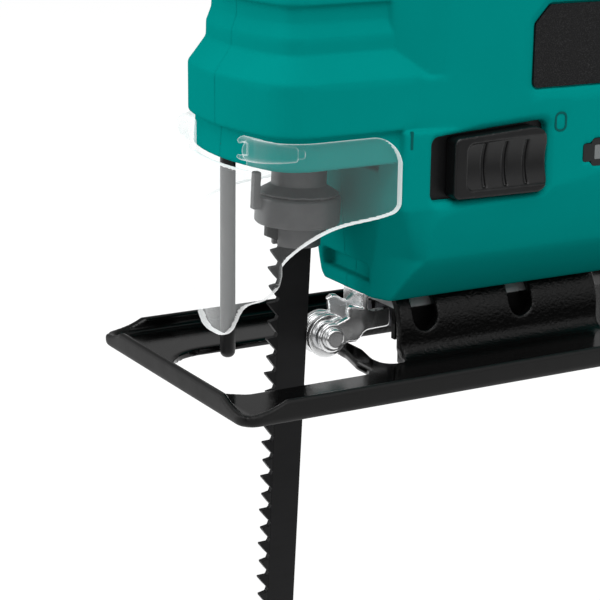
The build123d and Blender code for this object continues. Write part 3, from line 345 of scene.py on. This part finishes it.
def label_film():
    m = Mat("label")
    m.set(IOR=1.5, Specular_IOR_Level=0.2)
    v = m.n("ShaderNodeTexVoronoi", Scale=5200.0)
    m.link(m.coord.outputs["Object"], v.inputs["Vector"])
    sp = m.ramp(m.noise(5200.0, 2.0, 0.7), [(0.50, lin(18, 18, 19)), (0.68, lin(48, 48, 49))])
    m.link(sp, m.b.inputs["Base Color"])
    m.link(m.range(m.noise(1800.0), 0.3, 0.7, 0.5, 0.65), m.b.inputs["Roughness"])
    m.link(m.bump(v.outputs["Distance"], 0.2, 0.00005), m.b.inputs["Normal"])
    return m.m


M["label"] = label_film()


def shoe_coat():
    """Glossy black coat on the plate, satin on the outer wall, fine wrinkle on the arch."""
    m = Mat("shoe_steel")
    m.set(IOR=1.5, Specular_IOR_Level=0.28)
    sep = m.n("ShaderNodeSeparateXYZ")
    m.link(m.coord.outputs["Object"], sep.inputs[0])
    x, z = sep.outputs["X"], sep.outputs["Z"]
    ay = m.n("ShaderNodeMath", operation="ABSOLUTE")
    m.link(sep.outputs["Y"], ay.inputs[0])
    ay = ay.outputs[0]
    arch = m.math("MULTIPLY", m.range(ay, 0.0125, 0.0150, 1.0, 0.0), m.range(x, -0.0150, -0.0165, 0.0, 1.0))
    wall = m.math("MAXIMUM", m.range(ay, 0.0278, 0.0284, 0.0, 1.0), m.range(x, 0.0254, 0.0260, 0.0, 1.0))
    crinkle = m.n("ShaderNodeTexVoronoi", Scale=1700.0, feature="SMOOTH_F1")
    m.link(m.coord.outputs["Object"], crinkle.inputs["Vector"])
    mix = m.n("ShaderNodeMath", operation="MULTIPLY_ADD")
    m.link(crinkle.outputs["Distance"], mix.inputs[0])
    mix.inputs[1].default_value = 0.7
    m.link(m.noise(2300.0, 3.0, 0.6), mix.inputs[2])
    h = m.math("MULTIPLY", mix.outputs[0], m.range(arch, 0, 1, 0.05, 1.0))
    m.link(m.bump(h, 0.6, 0.00018), m.b.inputs["Normal"])
    m.link(m.ramp(m.math("ADD", m.math("MULTIPLY", wall, 0.6), m.math("MULTIPLY", m.noise(60.0), 0.3)),
                  [(0.05, (0.0012, 0.0012, 0.0012, 1)), (0.3, (0.0022, 0.0022, 0.0022, 1)), (0.75, (0.0045, 0.0045, 0.0045, 1))]), m.b.inputs["Base Color"])
    rough = m.math("ADD", m.math("ADD", m.math("MULTIPLY", wall, 0.42), m.math("MULTIPLY", arch, 0.10)), m.range(m.noise(300.0), 0.3, 0.7, 0.11, 0.17))
    m.link(rough, m.b.inputs["Roughness"])
    return m.m


M["shoe_steel"] = shoe_coat()


def clear_plastic(name, low, high, power):
    """Clear moulding: light passes straight through, and the surface turns brighter towards its edges through a white
    layer that glows, a painted reflection and painted glow.
    """
    m = Mat(name)
    # White base and white emission: painted reflection and painted glow of the studio light on the clear plastic
    m.set(Base_Color=(0.93, 0.95, 0.95, 1), IOR=1.46, Emission_Color=(1, 1, 1, 1), Emission_Strength=0.35)
    m.link(m.range(m.noise(260.0, 3.0), 0.3, 0.7, 0.04, 0.09), m.b.inputs["Roughness"])
    m.link(m.bump(m.noise(140.0, 2.0), 0.02, 0.0002), m.b.inputs["Normal"])
    facing = m.n("ShaderNodeLayerWeight", Blend=0.5).outputs["Facing"]
    share = m.range(m.math("POWER", facing, power), 0.0, 1.0, low, high)
    see = m.n("ShaderNodeBsdfTransparent", Color=(0.985, 0.992, 0.992, 1))
    mix = m.n("ShaderNodeMixShader")
    m.link(share, mix.inputs[0])
    m.link(see.outputs[0], mix.inputs[1])
    m.link(m.b.outputs[0], mix.inputs[2])
    m.link(mix.outputs[0], m.t.nodes["Material Output"].inputs["Surface"])
    return m.m


# Mostly see-through with a painted glow at grazing angles; the edge copy paints brighter highlights on the shield's
# rims
M["clear"] = clear_plastic("clear", 0.02, 0.9, 3.4)
M["clear_edge_painted_glow"] = clear_plastic("clear_edge_painted_glow", 0.5, 0.95, 1.5)


def flanged_plate():
    """Bright plate with dark flanges."""
    m = Mat("clamp_plate")
    m.set(Metallic=0.7)
    sep = m.n("ShaderNodeSeparateXYZ")
    m.link(m.coord.outputs["Object"], sep.inputs[0])
    top = m.range(sep.outputs["Z"], 0.0100, 0.0102, 0.0, 0.8)
    m.link(m.ramp(m.math("ADD", top, m.math("MULTIPLY", m.noise(300.0), 0.1)), [(0.1, (0.004, 0.004, 0.004, 1)), (0.8, lin(215, 216, 217))]), m.b.inputs["Base Color"])
    m.link(m.range(m.noise(500.0), 0.3, 0.7, 0.25, 0.4), m.b.inputs["Roughness"])
    return m.m


M["clamp_plate"] = flanged_plate()

# ------------------------------------------------------------------ pieces

halves(0.3, 0.36, 0.005)
soften("shoe", M["shoe_steel"], 0.2, 0.42, 0.6)
shield = soften("clear_shield", M["clear"], 0.16, 0.35)
shield.data.materials.append(M["clear_edge_painted_glow"])
fn = np.empty(len(shield.data.polygons) * 3, np.float32)
fc = np.empty(len(shield.data.polygons) * 3, np.float32)
shield.data.polygons.foreach_get("normal", fn)
shield.data.polygons.foreach_get("center", fc)
fn, fc = fn.reshape(-1, 3), fc.reshape(-1, 3) * 1000
# Rim and end faces get the edge material: painted highlights and glow along the shield's edges
painted_highlight_rim = ((np.abs(fn[:, 2]) > 0.45) & (np.abs(fc[:, 2] - 43.95) > 2.4)) | ((fc[:, 0] < -6.0) & (np.abs(fn[:, 0]) > 0.5))
shield.data.polygons.foreach_set("material_index", painted_highlight_rim.astype(np.int32))
soften("clamp_collar", M["clamp_steel"], 0.11, 0.25)
soften("clamp_body", M["clamp_steel"], 0.12, 0.2)
soften("switch_knob", M["black_plastic"], 0.11, 0.3)
soften("roller", M["zinc"], 0.08, 0.16)
soften("roller_bracket", M["zinc"], 0.1, 0.22)
soften("roller_pin", M["zinc"], 0.08, 0.16)
soften("guard_rod", M["black_rod"], 0.12, 0.2, top=43.0)
soften("battery_case", M["black_plastic"], 0.4, 0.8)
soften("grip_sleeve", M["grip"], 0.3, 0.45)
soften("battery_button_left", M["black_plastic"], 0.2, 0.5)
soften("battery_button_right", M["black_plastic"], 0.2, 0.5)


def prism(bm, pts, y0, y1, shift=None):
    """Closed prism over a polygon given in 3-D points on the middle plane; shift leans single corners sideways."""
    shift = shift or [0.0] * len(pts)
    lo = [bm.verts.new((p[0], y0 + s, p[1])) for p, s in zip(pts, shift)]
    hi = [bm.verts.new((p[0], y1 + s, p[1])) for p, s in zip(pts, shift)]
    bm.faces.new(lo)
    bm.faces.new(list(reversed(hi)))
    for i in range(len(pts)):
        j = (i + 1) % len(pts)
        bm.faces.new((lo[j], lo[i], hi[i], hi[j]))


def finish_mesh(bm, name, bevel=0.0):
    bmesh.ops.recalc_face_normals(bm, faces=bm.faces[:])
    me = bpy.data.meshes.new(name)
    bm.to_mesh(me)
    bm.free()
    me.transform(Matrix.Scale(0.001, 4))
    o = bpy.data.objects.new(name, me)
    bpy.context.scene.collection.objects.link(o)
    if bevel:
        b = o.modifiers.new("edges", "BEVEL")
        b.width, b.segments, b.limit_method, b.angle_limit = bevel / 1000, 2, "ANGLE", math.radians(40)
    return o


def saw_blade():
    """Blade with its teeth leant left and right in turn."""
    lean = math.radians(2.45)
    ox = 30.0 * math.tan(lean)
    at = lambda u, v: (ox + u * math.cos(lean) - v * math.sin(lean), u * math.sin(lean) + v * math.cos(lean))
    half, pitch, top, tip_z, back = 0.625, 3.35, 36.0, -56.5, -2.98
    roots, teeth, v, k = [], [], 22.3, 1
    while v > -50.5:
        t = 5.2 - (20 - v) * 0.0107
        roots += [(t - 1.75, v + 0.55), (t - 1.9, v - 2.45)]
        teeth.append(([(t - 1.75, v + 0.55), (t - 1.55, v + 0.2), (t, v), (t - 0.05, v - 0.35), (t - 1.1, v - 1.6), (t - 1.9, v - 2.45)], k))
        v -= pitch
        k = -k
    end = roots[-1][0]
    body = [(-3.3, top - 1.0), (-2.3, top), (2.3, top), (3.3, top - 1.0), (3.3, 26.7), (6.4, 26.7), (6.4, 24.9), (3.9, 23.9)] + roots
    body += [(end + 0.2, -53.0), (0.8, tip_z), (-0.4, tip_z), (back, -52.0), (back, 24.6), (-6.0, 24.9), (-6.0, 26.7), (-3.3, 26.7)]
    bm = bmesh.new()
    prism(bm, [at(*p) for p in body], -half, half)
    for pts, k in teeth:
        prism(bm, [at(*p) for p in pts], -half + 0.02, half - 0.02, [0, 0.06 * k, 0.3 * k, 0.3 * k, 0.16 * k, 0])
    o = finish_mesh(bm, "blade_set", 0.06)
    return place(o, "blade", M["blade_steel"])


saw_blade()


def marks():
    """The two thin switch marks, lying in their engraved places; their dark teal is painted shade, standing in for the
    shadow inside the engraved grooves.
    """
    bm = bmesh.new()
    q = Vector((1.3, 6.1, 0)).normalized()
    e = Vector((6.1, -1.3, 0)).normalized()
    c = Vector((-11.0, 20.3 + 1.1 * 1.3 / 6.1, 44.6))
    up = Vector((0, 0, 1))
    vs = [[bm.verts.new(c + e * a * 0.24 + up * b * 1.6 + q * d) for a, b in ((-1, -1), (1, -1), (1, 1), (-1, 1))] for d in (-0.3, 0.015)]
    bm.faces.new(vs[0])
    bm.faces.new(vs[1])
    for i in range(4):
        bm.faces.new((vs[0][i], vs[0][(i + 1) % 4], vs[1][(i + 1) % 4], vs[1][i]))
    s = 2.0 / 56.0
    q = Vector((s, 1, 0)).normalized()
    e = Vector((1, -s, 0)).normalized()
    c = Vector((-41.5, 22.0 + 17.5 * s, 45.85))

    def loop(w, h, r, d):
        pts = []
        for (cx, cz, a0) in ((w - r, h - r, 0), (-(w - r), h - r, 90), (-(w - r), -(h - r), 180), (w - r, -(h - r), 270)):
            for i in range(7):
                a = math.radians(a0 + 15 * i)
                pts.append(bm.verts.new(c + e * (cx + r * math.cos(a)) + up * (cz + r * math.sin(a)) + q * d))
        return pts

    rings = [loop(1.3, 1.8, 1.1, -0.3), loop(1.3, 1.8, 1.1, 0.015), loop(0.92, 1.42, 0.72, 0.015), loop(0.92, 1.42, 0.72, -0.3)]
    for a, b in zip(rings, rings[1:] + rings[:1]):
        for i in range(28):
            bm.faces.new((a[i], a[(i + 1) % 28], b[(i + 1) % 28], b[i]))
    o = finish_mesh(bm, "switch_marks")
    o.data.materials.append(M["mark_painted_groove_shade"])
    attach(o, NODE_BODY["left_housing"])


marks()

shown = {n for o in bpy.context.scene.objects for n in o.get("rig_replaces", [])}
for n, o in NODES.items():
    if n in shown:
        continue
    o.data.materials.clear()
    o.data.materials.append(M["clamp_plate"] if n == "clamp_plate" else M[NODE_SLOT[n]])

# ------------------------------------------------------------------ floor, light, camera


def floor():
    me = bpy.data.meshes.new("floor")
    z = -0.066
    me.from_pydata([(-6, -6, z), (6, -6, z), (6, 6, z), (-6, 6, z)], [], [(0, 1, 2, 3)])
    o = bpy.data.objects.new("floor", me)
    bpy.context.scene.collection.objects.link(o)
    m = Mat("floor")
    m.set(Roughness=0.9, Specular_IOR_Level=0.1)
    m.link(m.ramp(m.noise(3.0), [(0.3, (0.23, 0.23, 0.23, 1)), (0.7, (0.25, 0.25, 0.25, 1))]), m.b.inputs["Base Color"])
    m.b.inputs["Emission Color"].default_value = (1, 1, 1, 1)
    sep = m.n("ShaderNodeSeparateXYZ")
    m.link(m.coord.outputs["Object"], sep.inputs[0])
    s = m.math("ADD", m.math("MULTIPLY", sep.outputs["X"], 0.5), m.math("MULTIPLY", sep.outputs["Y"], 0.866))
    m.link(m.range(s, -0.03, 0.25, 0.88, 0.04), m.b.inputs["Emission Strength"])
    me.materials.append(m.m)


floor()

world = bpy.data.worlds.new("studio")
bpy.context.scene.world = world
world.use_nodes = True
world.node_tree.nodes["Background"].inputs["Color"].default_value = (1, 1, 1, 1)
world.node_tree.nodes["Background"].inputs["Strength"].default_value = 0.31


def area(name, loc, target, size, power):
    d = bpy.data.lights.new(name, "AREA")
    d.shape, d.size, d.size_y, d.energy = "RECTANGLE", size[0], size[1], power
    o = bpy.data.objects.new(name, d)
    o.location = loc
    o.rotation_mode = "QUATERNION"
    o.rotation_quaternion = (Vector(target) - Vector(loc)).to_track_quat("-Z", "Y")
    bpy.context.scene.collection.objects.link(o)
    return o


area("key", (0.15, 0.45, 0.85), (-0.02, 0, 0.04), (0.9, 0.9), 7.2)
area("front", (0.75, -0.50, 0.42), (0, 0, 0.05), (0.5, 0.6), 3.8)
area("fill", (0.42, 0.62, 0.10), (0, 0, 0.04), (0.5, 0.2), 0.35)
area("side", (-0.45, 0.8, 0.45), (-0.05, 0, 0.04), (0.8, 0.6), 0.9)

bpy.context.scene.view_settings.view_transform = "Standard"

cam = bpy.data.cameras.new("camera")
cam.sensor_width = 36.0
cam.lens = 118.42
cam.clip_start = 0.01
co = bpy.data.objects.new("camera", cam)
phi, pitch, roll = math.radians(30.023), math.radians(15.594), math.radians(0.658)
back = Vector((math.sin(phi) * math.cos(pitch), math.cos(phi) * math.cos(pitch), math.sin(pitch)))
right = (-back).cross(Vector((0, 0, 1))).normalized()
up = right.cross(-back)
right, up = math.cos(roll) * right + math.sin(roll) * up, -math.sin(roll) * right + math.cos(roll) * up
R = Matrix((right, up, back)).transposed()
co.matrix_world = Matrix.Translation((0.17438, 0.30305, 0.10987)) @ R.to_4x4()
bpy.context.scene.collection.objects.link(co)
bpy.context.scene.camera = co
